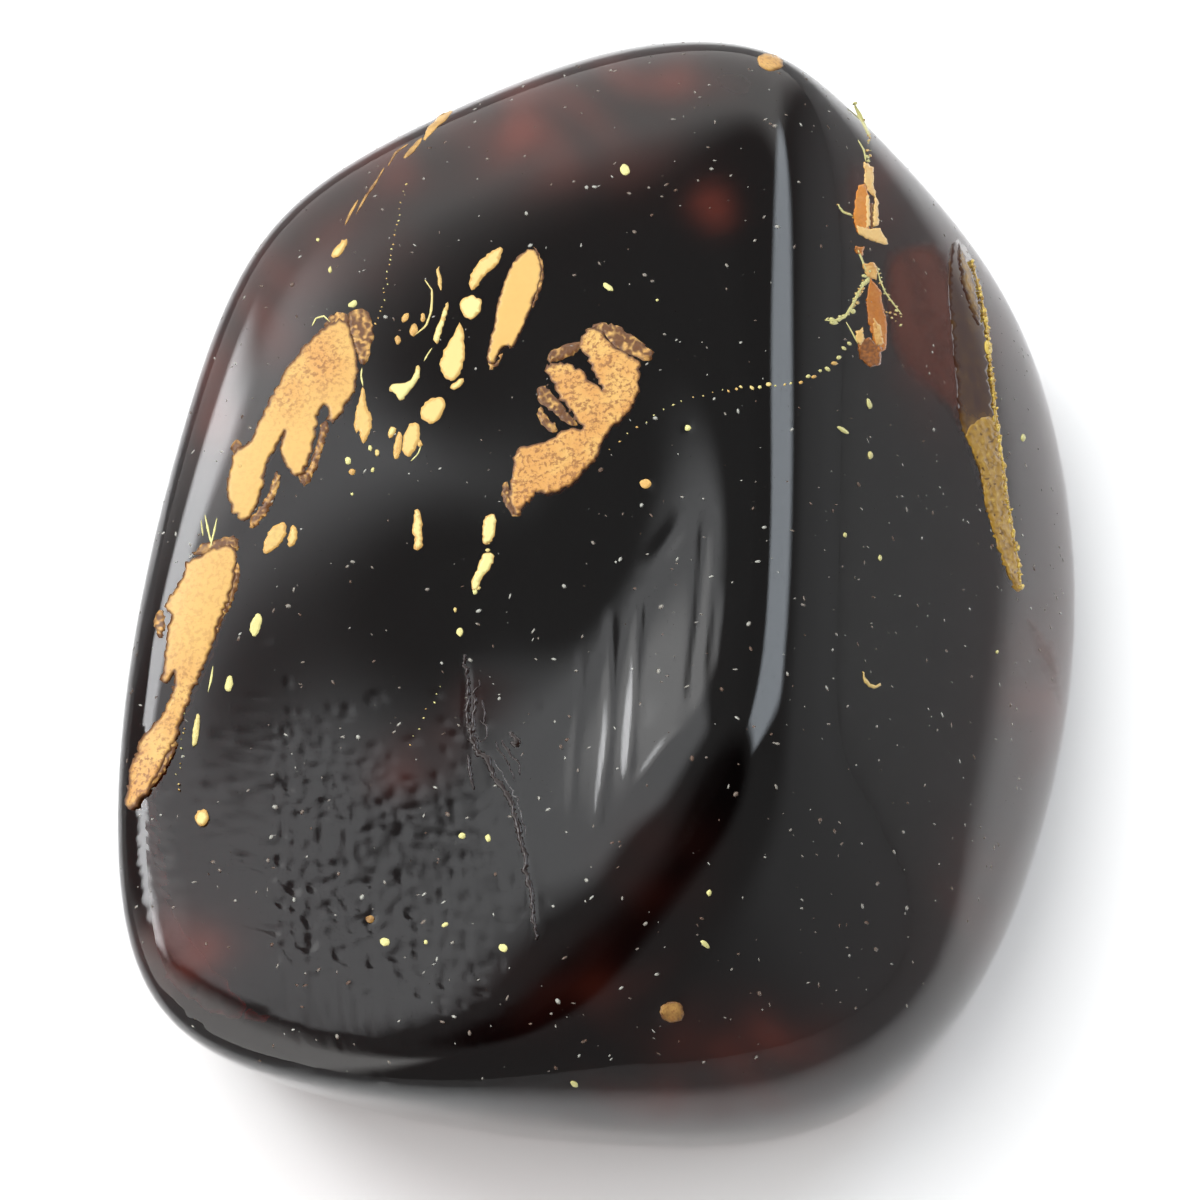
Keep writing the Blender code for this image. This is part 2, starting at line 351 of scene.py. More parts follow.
stoneSettings = {
    # half sizes and the top of the block whose grids are drawn out to the stone's surface
    "half": (34.0, 42.0), "above": 9.0,
    # grid lines: stops along the axis and the spacing between one stop and the next
    "linesX": ((-34, 0.9), (-19, 0.24), (-8, 0.16), (7.5, 0.4), (17, 0.9), (34, 0)),
    "linesY": ((-42, 0.9), (-29, 0.24), (-18, 0.17), (6, 0.6), (42, 0)),
    "linesZ": ((-26, 1.3), (-6, 1.0), (9, 0)),
    # creases left by the polishing wheel: half width in picture units, height in mm, the line
    "creases": (
        (9, -0.05, table("687,500 675,530 662,550 650,565 642,575")),
        (4.5, 0.048, table("642,585 640,600 637,640 635,680 632,720 629,760 627,803")),
        (5, 0.04, table("628,803 640,780 655,760 670,740 688,722")),
        (5, 0.048, table("612,600 611,660 610,700 609,730 606,760 602,790 594,850")),
        (3.5, 0.018, table("602,635 600,655 597,680")),
        (3.5, 0.02, table("582,640 581,680 578,720 574,750 572,790 570,830")),
        (6, -0.05, table("707,500 703,560 699,620 694,660 690,700 688,720")),
        (5, -0.03, table("716,575 714,620 710,660 706,690")),
        (3, -0.02, table(
            "465,655 468,680 467,720 473,745 487,757 494,775 507,793 516,820 523,850 529,885 536,940")),
        (2.5, -0.012, table("479,680 473,720 474,740 487,757")),
        (2.5, 0.012, table("505,735 512,758 520,775")),
    ),
    "crack": table(
        "465,655 468,680 469,700 467,720 471,735 479,752 487,757 491,765 494,775 500,785 507,793 "
        "512,805 516,820 520,835 523,850 526,865 529,885 532,905 535,925 536,940"),
    "step": {"height": 0.05, "starts": (650, 690), "ends": (880, 945), "width": 45, "edge": (-2, 3)},
    "pits": table(
        "671,1011,9,0.10 370,919,4,0.05 688,428,2.5,0.03 646,484,3,0.04 608,287,3,0.04 462,836,3,0.03 "
        "488,838,3,0.03"),
    "dimples": {"count": 2000, "middle": (315, 880), "spread": (88, 66), "depth": 0.015,
                "turn": (0.75, 0.35), "long": 5.0, "wide": 2.6, "reach": 14},
    # soft red light inside the stone: x, y, half width, half height, strength
    "glows": table(
        "528,115,60,34,0.55 650,76,70,24,0.5 383,161,46,30,0.45 268,306,34,52,0.4 214,398,24,60,0.35 "
        "715,207,22,18,0.55 944,325,46,70,0.5 191,944,40,34,0.45 402,772,34,26,0.14 431,746,30,22,0.12 "
        "753,1040,70,30,0.5 657,868,52,60,0.05 600,990,80,40,0.1 1040,700,30,60,0.45 "
        "690,1100,110,22,0.4 880,190,30,40,0.35 480,700,26,20,0.14 560,150,90,40,0.25 330,240,60,40,0.3 "
        "980,900,40,60,0.2"),
}


def lines(stops):
    found = []
    for (start, spacing), (end, rest) in zip(stops, stops[1:]):
        found.extend(np.linspace(start, end, int(round((end - start) / spacing)), endpoint=False))
    return np.array(found + [stops[-1][0]])


def gridFaces(rows, columns, flip=False):
    index = np.arange(rows * columns).reshape(rows, columns)
    quads = np.stack((index[:-1, :-1], index[:-1, 1:], index[1:, 1:], index[1:, :-1]), -1).reshape(-1, 4)
    return quads[:, ::-1] if flip else quads


def polishMarks(places):
    # how far the polished surface stands off its smooth form, in mm, at places on the picture
    s = stoneSettings
    off = np.zeros(len(places))
    for width, height, line in s["creases"]:
        near = np.all((places > line.min(0) - 4 * width) & (places < line.max(0) + 4 * width), axis=1)
        ends = np.minimum(*(np.linalg.norm(places[near] - end, axis=1) for end in (line[0], line[-1])))
        ridge = np.exp(-(distanceTo(places[near], line, False) / width) ** 2)
        off[near] += height * ridge * smoothStep(ends, 0, 40)
    # the stone stands a little higher just right of the crack, which makes a step there
    crack, step = s["crack"], s["step"]
    beside = places[:, 0] - np.interp(places[:, 1], crack[:, 1], crack[:, 0])
    first, last = step["ends"]
    ends = smoothStep(places[:, 1], *step["starts"]) * smoothStep(-places[:, 1], -last, -first)
    rise = np.exp(-np.abs(beside) / step["width"]) * smoothStep(beside, *step["edge"])
    off += step["height"] * ends * rise
    for x, y, width, depth in s["pits"]:
        off -= depth * np.exp(-((places[:, 0] - x) ** 2 + (places[:, 1] - y) ** 2) / width ** 2)
    d = s["dimples"]
    dents = np.array(d["middle"]) + rng.normal(0, 1, (d["count"], 2)) * d["spread"]
    turns = rng.normal(*d["turn"], d["count"])
    for (x, y), turn in zip(dents, turns):
        near = np.all(np.abs(places - (x, y)) < d["reach"], axis=1)
        right, down = places[near, 0] - x, places[near, 1] - y
        along = (right * np.cos(turn) + down * np.sin(turn)) / d["long"]
        across = (down * np.cos(turn) - right * np.sin(turn)) / d["wide"]
        off[near] -= d["depth"] * np.exp(-along ** 2 - across ** 2)
    return off


def stoneGlow(places):
    total = np.zeros(len(places))
    for x, y, width, height, strength in stoneSettings["glows"]:
        total += strength * np.exp(-((places[:, 0] - x) / width) ** 2 - ((places[:, 1] - y) / height) ** 2)
    x, y = places[:, 0], places[:, 1]
    patchy = np.sin(x / 23 + np.sin(y / 31) * 1.7) * np.sin(y / 19 + np.sin(x / 27) * 1.4)
    return np.minimum(total * (0.55 + 0.35 * patchy), 0.6)


def stoneMesh():
    s = stoneSettings
    xs, ys, zs = lines(s["linesX"]), lines(s["linesY"]), lines(s["linesZ"])
    sides = []
    gy, gx = np.meshgrid(ys, xs, indexing="ij")
    sides.append((np.stack((gx, gy, np.full(gx.shape, s["above"])), -1), False))
    for sign in (-1, 1):
        gz, gx = np.meshgrid(zs, xs, indexing="ij")
        sides.append((np.stack((gx, np.full(gx.shape, sign * s["half"][1]), gz), -1), sign > 0))
        gz, gy = np.meshgrid(zs, ys, indexing="ij")
        sides.append((np.stack((np.full(gy.shape, sign * s["half"][0]), gy, gz), -1), sign < 0))
    shape = bmesh.new()
    for grid, flip in sides:
        rows, columns = grid.shape[:2]
        corners = grid.reshape(-1, 3)
        unit = corners / np.linalg.norm(corners, axis=1, keepdims=True)
        points = heart + unit * reach(unit)[:, None]
        points[:, 2] -= wornDepth(points)
        places, seen = onPicture(points)
        points[seen] += normalsAt(points[seen]) * polishMarks(places[seen])[:, None]
        made = [shape.verts.new(point) for point in points]
        for face in gridFaces(rows, columns, flip):
            shape.faces.new([made[i] for i in face])
    bmesh.ops.remove_doubles(shape, verts=shape.verts, dist=0.0005)
    everything = [*shape.verts, *shape.edges, *shape.faces]
    bmesh.ops.bisect_plane(shape, geom=everything, plane_co=(0, 0, 0), plane_no=(0, 0, -1),
                           clear_outer=True)
    # dimples on a shared edge of two grids leave a seam open there, and then the base isn't filled
    bmesh.ops.edgeloop_fill(shape, edges=[edge for edge in shape.edges if edge.is_boundary])
    return shape


def amberFinish():
    # clear glass that darkens with depth, mixed with a little cloudy red diffuse where the stone glows: a
    # painted glow of light shining through the stone
    f = Finish("dark_amber")
    cloud = f.node("ShaderNodeBsdfPrincipled", Base_Color=(0.17, 0.028, 0.016), Roughness=0.05, IOR=1.54)
    f.join(f.attribute("glow"), cloud)
    absorb = f.tree.nodes.new("ShaderNodeVolumeAbsorption")
    absorb.inputs["Color"].default_value = (0.89, 0.46, 0.08, 1.0)
    absorb.inputs["Density"].default_value = 950.0
    f.tree.links.new(absorb.outputs[0], f.output.inputs["Volume"])
    return f.set(Base_Color=(1, 1, 1), Roughness=0.03, IOR=1.54, Transmission_Weight=1.0)


shape = stoneMesh()
mesh = bpy.data.meshes.new("amberStone")
corners = np.array([corner.co for corner in shape.verts])
for corner in shape.verts:
    corner.co = (corner.co - Vector(planMiddle)) * mm
bmesh.ops.recalc_face_normals(shape, faces=shape.faces)
shape.to_mesh(mesh)
shape.free()
places, seen = onPicture(corners)
# the glow attribute says where the painted red glow is mixed into the amber
setValue(mesh, "glow", np.where(seen, stoneGlow(places), 0.0))
mesh.materials.append(amberFinish())
mesh.shade_smooth()
mesh.set_sharp_from_angle(angle=np.radians(40))
max(mesh.polygons, key=lambda face: face.area).use_smooth = False  # the largest face
stone = addObject("amberStone", mesh)
pieces.append((stone, "dark_amber", ("amber",)))
print("stone", len(mesh.polygons), "faces")

inclusionOutlines = {
    "creamForked": table(
        "346,317 356,349 358,364 355,388 348,404 336,420 329,424 327,402 319,412 315,438 311,457 "
        "305,473 297,477 289,471 281,457 282,436 286,428 275,451 267,463 263,487 257,507 249,522 "
        "240,521 230,507 226,487 231,467 234,449 242,447 251,441 257,426 267,404 277,384 289,366 "
        "299,351 313,337 327,325"),
    "creamEdge": table(
        "236,547 237,568 232,595 221,614 215,641 205,665 194,689 184,713 178,734 168,753 157,775 "
        "148,794 136,805 128,812 125,804 127,788 129,769 136,751 141,737 154,726 165,710 173,689 "
        "177,667 161,689 165,654 166,633 173,614 162,609 170,595 184,579 186,560 197,558 208,552 "
        "227,544"),
    "creamNotched": table(
        "599,326 614,348 634,357 643,364 639,389 636,402 621,420 605,435 599,453 585,471 572,485 "
        "558,491 547,493 536,491 529,502 516,518 509,500 511,478 514,458 518,447 536,444 554,438 "
        "563,429 585,431 574,418 561,400 554,384 543,368 554,362 576,366 590,380 605,394 594,371 "
        "585,353 576,344 583,333"),
    "creamBar": table(
        "518,255 532,247 540,257 542,277 536,293 529,313 520,333 511,351 506,343 498,353 494,366 "
        "486,362 489,344 495,326 497,304 503,284 511,266"),
    "goldenVein": table(
        "953,233 971,253 982,292 986,322 989,345 991,381 996,412 1001,441 1004,465 1008,496 1013,525 "
        "1019,562 1022,591 1015,584 1009,576 1002,554 997,528 987,504 982,482 975,455 961,428 957,400 "
        "954,360 950,320 947,280"),
}


def filled(outline, spacing, fray=0.0, crisp=False):
    # triangles over an outline, with the outline's own points first
    line = resampled(outline if crisp else rounded(outline), spacing)
    if fray:
        line = line + rng.normal(0, fray, line.shape)
    low, high = line.min(0), line.max(0)
    xs = np.arange(low[0], high[0], spacing)
    ys = np.arange(low[1], high[1], spacing * 0.87)
    gx, gy = np.meshgrid(xs, ys)
    gx[1::2] += spacing / 2
    grid = np.stack((gx.ravel(), gy.ravel()), 1)
    grid = grid[insideOutline(grid, line)]
    grid = grid[distanceTo(grid, line) > spacing * 0.6]
    grid = grid + rng.uniform(-0.15, 0.15, grid.shape) * spacing
    places = [Vector(point) for point in np.vstack((line, grid))]
    ring = list(range(len(line)))
    done = geometry.delaunay_2d_cdt(places, [], [ring], 1, 1e-4)
    flat = np.array([tuple(point) for point in done[0]])
    return flat, done[2], distanceTo(flat, line)


def lens(outline, spacing=4.0, lift=0.03, depth=0.6, wall=10.0, fray=0.0, rough=0.0, crisp=False):
    # a closed body under an outline: its top follows the stone just above the polish, and its
    # underside falls away from the edge to its full depth within the width of the wall
    flat, faces, inside = filled(outline, spacing, fray, crisp)
    surface, normals = onStone(flat)
    bumps = rng.normal(0, rough, len(flat))[:, None] if rough else 0
    top = surface + normals * (lift + bumps)
    fall = np.clip(inside / wall, 0, 1)
    fall = depth * np.sqrt(1 - (1 - fall) ** 2) * rng.uniform(0.85, 1.1, len(flat))
    edge = inside < 1e-3
    bottom = surface - normals * (np.where(edge, 0.1, fall + 0.12))[:, None]
    count = len(flat)
    # the camera sees the picture's y downwards, so the winding is turned for the top
    winding = signedArea(flat, faces[0])
    topFaces = [face if winding < 0 else face[::-1] for face in faces]
    bottomFaces = [tuple(i + count for i in face[::-1]) for face in topFaces]
    uses = dict.fromkeys((a, b) for face in topFaces for a, b in zip(face, (*face[1:], face[0])))
    walls = [(b, a, a + count, b + count) for a, b in uses if (b, a) not in uses]
    return (np.vstack((top, bottom)), topFaces + bottomFaces + walls), np.tile(inside, 2)


def signedArea(flat, face):
    p = flat[list(face)]
    return np.sum(p[:, 0] * np.roll(p[:, 1], -1) - np.roll(p[:, 0], -1) * p[:, 1])


class Batch:
    # closed bodies gathered into one piece, with a tone and a grain at each of their points

    def __init__(self):
        self.points, self.faces, self.tones, self.grains, self.count = [], [], [], [], 0

    def add(self, body, tone=0.0, grain=0.0):
        points, faces = body
        self.faces.extend([tuple(int(i) + self.count for i in face) for face in faces])
        self.count += len(points)
        self.points.append(points)
        self.tones.append(np.broadcast_to(np.asarray(tone, float), len(points)))
        self.grains.append(np.broadcast_to(np.asarray(grain, float), len(points)))

    def piece(self, name, finish, slot, replaced=()):
        made = addPiece(name, np.vstack(self.points), self.faces, finish, slot, replaced)
        setValue(made.data, "tone", np.concatenate(self.tones))
        setValue(made.data, "grain", np.concatenate(self.grains))
        return made


def strand(line, width, lift=0.03, sink=0.1, spacing=4.0, ragged=0.25, taper=0.5):
    # a closed thread along a line on the stone, thin at both ends
    centre = resampled(line, spacing, closed=False)
    along = np.gradient(centre, axis=0)
    along /= np.linalg.norm(along, axis=1, keepdims=True) + 1e-9
    across = np.stack((-along[:, 1], along[:, 0]), 1)
    share = np.linspace(0.03, 0.97, len(centre))
    half = width / 2 * np.sin(np.pi * share) ** taper * rng.uniform(1 - ragged, 1 + ragged, len(centre))
    section = ((-1.0, 0.0), (-0.6, lift * 0.8), (0.0, lift), (0.6, lift * 0.8), (1.0, 0.0), (0.5, -sink),
               (-0.5, -sink))
    places = np.concatenate([centre + across * (half * off)[:, None] for off, rise in section])
    surface, normals = onStone(places)
    rises = np.repeat([rise for off, rise in section], len(centre))
    points = surface + normals * rises[:, None]
    rings, rows = len(section), len(centre)
    faces = []
    for k in range(rows - 1):
        for j in range(rings):
            a, b = j * rows + k, (j + 1) % rings * rows + k
            faces.append((a, b, b + 1, a + 1))
    faces.extend([j * rows + end for j in range(rings)] for end in (0, rows - 1))
    return points, faces


def spot(x, y, width, height, turn=0.0, corners=9, ragged=0.12):
    # a rounded outline of about this size
    a = np.linspace(0, 2 * np.pi, corners, endpoint=False)
    far = rng.uniform(1 - ragged, 1 + ragged, corners)
    right, down = np.cos(a) * width / 2 * far, np.sin(a) * height / 2 * far
    t = np.radians(turn)
    return np.stack((x + right * np.cos(t) - down * np.sin(t), y + right * np.sin(t) + down * np.cos(t)), 1)


def creamFinish():
    # tone runs from a brown fringe at 0 over cream at 1 to a pale yellow green at 2
    f = Finish("cream_crust")
    tone, grain = f.attribute("tone"), f.attribute("grain")
    fine = f.noise(3000.0, 4.0, 0.65)
    patch = f.noise(420.0, 3.0)
    wobble = (f.noise(1500.0, 3.0) - 0.5) * 0.9
    fringe = (tone + wobble).between(0.15, 0.75)
    colour = f.mix(patch, (0.55, 0.315, 0.083), (0.57, 0.37, 0.11))
    colour = f.mix(grain * patch.between(0.3, 0.6), colour, (0.50, 0.245, 0.06))
    colour = f.mix(fine.between(0.47, 0.62) * grain, colour, (0.24, 0.10, 0.025))
    colour = f.mix(fringe, (0.10, 0.036, 0.007), colour)
    colour = f.mix(((tone - 1.0) * 2.2).math("ADD", 0.0, clamp=True), colour, (0.58, 0.55, 0.22))
    return f.set(Base_Color=colour, Roughness=0.38, Normal=f.bump(fine * grain, 0.7))


def goldFinish(name, scale, colours):
    # tone picks along the colours
    f = Finish(name)
    tone = f.attribute("tone") + (f.noise(scale, 4.0, 0.6) - 0.5) * 0.7
    colour = f.ramp(tone, colours)
    bright = tone.between(0.2, 1.0)
    cells = f.node("ShaderNodeTexVoronoi", Vector=f.place(), Scale=scale * 1.6) * bright
    return f.set(Base_Color=colour, Roughness=bright * 0.22 + 0.04, Normal=f.bump(cells, 0.5))


def veilFinish(name, colours):
    # tone picks the colour, grain is how much of it covers the amber
    f = Finish(name)
    colour = f.ramp(f.attribute("tone"), colours)
    cloud = f.noise(240.0, 4.0, 0.6).between(0.25, 0.65)
    cover = f.attribute("grain") * (0.35 + cloud * 0.65)
    return f.set(Base_Color=colour, Roughness=0.06, IOR=1.54, Alpha=cover)


finishes = {
    "cream": creamFinish(),
    "vein": goldFinish("golden_vein", 700.0, (
        (0.035, 0.009, 0.004), (0.33, 0.18, 0.016), (0.72, 0.52, 0.1))),
    "flake": goldFinish("golden_flake", 600.0, ((0.14, 0.05, 0.012), (0.66, 0.24, 0.03), (0.78, 0.52, 0.2))),
    "orange": goldFinish("orange_flake", 600.0, (
        (0.12, 0.04, 0.01), (0.46, 0.15, 0.015), (0.75, 0.47, 0.15))),
    "veil": veilFinish("amber_veil", ((0.10, 0.022, 0.011), (0.30, 0.11, 0.02))),
}


def grainAt(places, fields, base):
    total = np.full(len(places), float(base))
    for x, y, size, strength in fields:
        total += strength * np.exp(-((places[:, 0] - x) ** 2 + (places[:, 1] - y) ** 2) / size ** 2)
    return np.clip(total, 0, 1)


inclusionSettings = {
    # CAD node, depth, fray, width of the fringe, grain all over and more of it round places
    "creamForked": ("cream_inclusion_forked", 3.0, 0.9, 5.0, 0.12, table("320,360,34,0.8 285,400,22,0.5")),
    "creamEdge": ("cream_inclusion_edge", 4.0, 1.0, 5.0, 0.25, table("185,700,40,0.5 140,780,45,0.9")),
    "creamNotched": ("cream_inclusion_notched", 3.0, 1.3, 4.0, 0.95, ()),
    "creamBar": ("cream_inclusion_bar", 2.4, 0.4, 3.0, 0.03, ()),
}
fringeSettings = {
    # outlines of the brown fringes beside the cream
    "creamForked": (
        table("346,316 356,308 368,310 374,330 372,346 366,366 360,366 356,350"),
        table("322,326 334,312 346,312 352,324 330,330"),
        table("297,474 305,476 311,460 318,440 322,418 330,424 322,452 312,480 302,488"),
        table("249,520 262,506 270,488 276,470 282,478 274,500 262,522 250,530"),
        table("230,448 236,438 244,446 238,460"),
    ),
    "creamEdge": (
        table("190,556 200,545 222,538 238,536 240,552 224,548 208,554"),
        table("236,560 241,574 234,600 222,622 214,640 220,612 230,596"),
        table("158,750 170,736 178,742 166,768 150,790 146,792"),
        table("162,606 152,622 160,640 166,632"),
    ),
    "creamNotched": (
        table("583,333 596,322 618,326 640,340 654,352 650,364 634,357 614,348 599,326"),
        table("590,344 606,352 618,372 610,372 596,360"),
        table("536,388 546,386 560,402 572,418 580,428 566,424 548,408 538,402"),
        table("540,404 536,420 552,434 560,430 546,416"),
        table("548,352 562,346 582,340 580,352 560,360 548,364"),
        table("506,478 500,492 506,508 516,520 524,512 512,496"),
    ),
    "creamBar": (
        table("532,245 541,254 544,278 538,296 530,314 536,292 540,270"),
        table("486,360 494,366 504,350 500,364 490,372"),
    ),
}
for name, (node, depth, fray, fringe, grain, fields) in inclusionSettings.items():
    batch = Batch()
    body, inside = lens(inclusionOutlines[name], 3.4, 0.03, depth, 24.0, fray)
    places = onPicture(body[0])[0]
    batch.add(body, np.clip(inside / fringe, 0.12, 1.0), grainAt(places, fields, grain))
    for outline in fringeSettings[name]:
        body, inside = lens(outline, 3.0, 0.015, 0.5, 8.0, 0.7)
        batch.add(body, np.clip(0.28 + 0.3 * rng.normal(0, 1, len(body[0])), 0, 0.8), 0.6)
    batch.piece(name, finishes["cream"], "cream_crust", (node,))

# small lumps of the same crust: outline, tone, grain
dropletSettings = (
    (table(
        "503,248 503,252 499,263 493,269 486,273 480,283 474,290 470,290 469,282 472,272 476,265 "
        "480,261 486,255 494,250 499,247"), 1.25, 0.2),
    (table(
        "461,299 467,297 472,295 476,298 482,299 482,305 480,312 476,317 470,320 465,317 461,310 "
        "460,304"), 1.5, 0.1),
    (table(
        "460,322 463,328 464,338 465,350 464,362 460,372 455,380 450,381 445,379 441,372 440,364 "
        "443,354 448,344 454,334 458,326"), 1.3, 0.0),
    (table("464,378 464,381 461,386 455,390 450,390 450,387 454,384 459,380"), 1.5, 0.0),
    (table(
        "434,398 441,397 445,400 446,407 442,415 436,422 431,424 425,422 421,417 420,411 424,404 "
        "429,399"), 1.25, 0.0),
    (table(
        "415,422 419,425 420,434 419,442 415,450 410,457 406,456 402,451 402,445 404,436 407,428 "
        "411,424"), 1.2, 0.05),
    (table("390,427 395,427 396,431 393,438 389,439 388,434"), 1.6, 0.0),
    (table(
        "418,364 420,368 420,375 416,383 410,390 406,396 401,401 397,398 396,394 391,392 389,389 "
        "390,385 398,384 406,383 411,381 414,375 415,368"), 1.9, 0.4),
    (table(
        "363,384 365,396 367,408 371,415 372,420 371,430 367,439 362,446 360,438 360,429 356,434 "
        "354,427 355,420 356,410 359,402 362,390"), 1.1, 0.2),
    (table("437,266 440,271 442,280 441,294 439,286 436,275"), 1.8, 0.2),
    (table("448,301 449,305 446,316 443,328 438,342 435,345 433,341 436,330 441,318 445,305"), 1.8, 0.2),
    (table("347,238 348,241 344,250 340,257 332,258 331,256 336,247 343,240"), 1.3, 0.0),
    (table("416,507 420,510 422,520 422,534 423,546 417,551 413,548 415,540 412,530 414,520"), 1.4, 0.3),
    (table("861,668 866,680 874,687 881,682 880,686 872,689 864,682"), 1.9, 0.0),
    (table("270,528 284,520 288,530 280,545 266,556 262,548"), 1.1, 0.3),
    (table("292,524 298,528 296,544 288,548 288,536"), 1.2, 0.2),
    (table("756,58 766,52 782,58 784,68 770,72 758,66"), 0.75, 0.6),
    (table("484,518 494,512 497,524 493,540 484,548 482,534"), 1.6, 0.5),
    (table("484,552 496,554 490,568 482,578 476,592 470,588 474,574 480,562"), 1.7, 0.5),
    (table("660,1006 672,1000 684,1006 684,1018 672,1024 660,1018"), 0.5, 0.8),
    (table("196,812 206,808 210,818 202,828 195,822"), 1.4, 0.3),
)
# spots: x, y, width, height, turn, tone
spotSettings = table(
    "330,270,4,7,10,1.4 318,240,4,4,0,2.0 353,304,10,6,-20,1.9 370,448,4,6,0,1.4 377,453,5,7,0,1.2 "
    "348,461,6,8,0,1.7 373,470,4,5,0,1.4 352,494,3,4,0,1.5 352,472,7,7,0,0.9 256,625,11,26,15,1.4 "
    "229,684,8,17,10,1.4 196,729,6,36,8,1.3 370,919,9,8,0,0.4 646,484,12,10,0,1.0 608,287,12,6,35,1.8 "
    "625,170,10,12,0,1.8 460,632,7,9,0,1.4 455,610,4,6,0,1.2 688,428,6,6,0,1.6 869,404,5,12,-20,1.7 "
    "843,430,16,4,35,1.6 870,455,5,9,-10,1.4 845,535,4,6,0,1.6 880,558,3,7,0,1.5 1023,438,5,9,0,1.7 "
    "997,652,3,5,0,1.6 705,944,12,5,40,2.0 709,893,5,7,0,1.8 503,948,10,8,30,1.8 426,942,4,5,0,1.8 "
    "385,942,10,8,0,1.6 462,836,8,6,0,1.8 488,838,6,8,0,1.6 445,925,4,8,60,1.8 574,1084,10,5,35,1.6 "
    "657,300,4,3,0,1.5 475,592,5,6,0,1.9 420,444,5,8,0,0.8 398,445,8,30,10,0.9 240,466,4,5,0,1.2 "
    "405,318,6,12,30,0.7 414,330,8,14,10,0.6 423,318,5,10,0,0.7 398,340,6,9,0,0.6")
# threads: width, tone, line
threadSettings = (
    (3.0, 0.45, table("345,225 351,212 358,200")),
    (2.6, 0.4, table("356,214 366,196 376,182 384,168")),
    (5.0, 0.5, table("404,158 412,150 422,138")),
    (7.5, 0.6, table("424,140 430,130 440,120 452,111")),
    (2.4, 0.35, table("388,166 396,152 408,144")),
    (2.0, 1.6, table("362,368 361,376 363,386")),
    (1.8, 1.4, table("432,348 428,354 424,361")),
    (1.6, 1.5, table("421,446 418,454 411,461")),
    (2.4, 1.3, table("425,280 432,290 432,300 431,312 426,326 415,335")),
    (2.2, 1.8, table("205,515 208,530 212,546")),
    (2.0, 1.8, table("217,518 214,532 210,548")),
    (1.8, 1.5, table("201,520 203,536")),
    (2.0, 1.9, table("213,666 211,680 208,692")),
    (2.2, 1.9, table("838,205 843,212 853,216")),
    (1.8, 1.9, table("312,326 316,318 324,316 330,322")),
    (4.0, 1.6, table("855,105 862,120 870,137")),
    (2.0, 1.7, table("858,140 864,150 866,162")),
    (3.0, 1.9, table("870,275 860,290 852,306 845,317 834,321 825,320")),
    (1.8, 2.0, table("877,268 880,280 885,292 892,302 902,315")),
    (2.4, 1.7, table("858,250 863,262 866,272")),
    (1.6, 1.7, table("846,322 852,332 858,344")),
)
batch = Batch()
for outline, tone, grain in dropletSettings:
    body, inside = lens(outline, 3.0, 0.03, 0.6, 8.0, 0.5)
    batch.add(body, np.where(inside < 1.2, 0.6 * tone, tone), grain)
for x, y, width, height, turn, tone in spotSettings:
    body, inside = lens(spot(x, y, width, height, turn), 2.4, 0.03, 0.3, 4.0, 0.25)
    batch.add(body, tone, 0.25)
for width, tone, line in threadSettings:
    batch.add(strand(line, width), tone, 0.2)
# trails of bubbles, small pale spots along lines whose pale colour paints the bubbles' silvery glint: gap,
# least and most size, line
trailSettings = (
    (2.6, 2.0, 5.5, table("870,276 864,286 858,296 852,307 846,316 836,320 826,319")),
    (2.6, 1.6, 4.0, table("866,272 862,284 855,300 850,312")),
    (2.6, 1.4, 3.4, table("877,268 881,282 886,293 893,303 903,316")),
    (3.0, 1.2, 3.0, table("880,306 888,314 894,316 901,325")),
    (3.0, 1.2, 3.4, table("855,105 862,120 870,137 868,150 869,164")),
    (3.5, 1.4, 3.6, table("836,203 843,212 854,216")),
    (8.0, 2.2, 5.0, table("728,388 743,387 780,385 814,377 833,365 849,344")),
    (11.0, 1.0, 2.2, table("611,448 640,424 682,400 724,390")),
    (7.0, 2.0, 4.5, table("492,515 489,545 482,570 475,592")),
    (10.0, 1.0, 2.0, table("442,685 430,706 420,724 409,743")),
    (6.0, 0.9, 2.0, table("406,184 400,208 396,230 389,268 383,302 376,323")),
    (7.0, 0.9, 1.8, table("196,560 176,640 186,700 176,790")),
)
for gap, least, most, line in trailSettings:
    for x, y in resampled(line, gap, closed=False):
        x, y = x + rng.normal(0, 1.2), y + rng.normal(0, 1.2)
        size = rng.uniform(least, most)
        bubble = spot(x, y, size * rng.uniform(1.0, 2.0), size, rng.uniform(-40, 40), 6)
        body, inside = lens(bubble, 2.4, 0.02, 0.2, 4.0)
        batch.add(body, rng.uniform(0.8, 2.0))
batch.piece("paleDroplets", finishes["cream"], "cream_crust")

# the crack's broken lips, as fine near-black ridges whose colour paints the shade in the crack: width,
# height, line
lipSettings = (
    (6.0, 0.13, stoneSettings["crack"]),
    (4.0, 0.09, table("479,680 475,700 473,720 474,740 480,752")),
    (2.2, 0.05, table("480,720 487,726 488,736 480,742 476,734")),
    (4.0, 0.09, table("468,755 470,775 474,790")),
    (7.0, 0.1, table("510,732 518,736 517,746 511,742")),
    (2.6, 0.06, table("502,740 505,745 512,758 518,765 520,775")),
    (2.4, 0.05, table("482,700 485,712 484,724")),
    (2.0, 0.04, table("494,760 503,776 512,790 521,812 526,836")),
    (2.0, 0.04, table("496,742 500,752 508,764 514,780")),
)
batch = Batch()
for width, height, line in lipSettings:
    line = resampled(line, 5.0, closed=False)
    line[1:-1] += rng.normal(0, 1.1, line[1:-1].shape)
    batch.add(strand(line, width, height, 0.1, 2.2, 0.45, 0.3))
# near-black colour: painted shade along the crack
crackShade = Finish("crack_lips_painted_shade")
crackShade.set(Base_Color=(0.012, 0.006, 0.005), Roughness=0.05, IOR=1.54)
batch.piece("crackLips", crackShade.material, "dark_amber")
print("crust done")

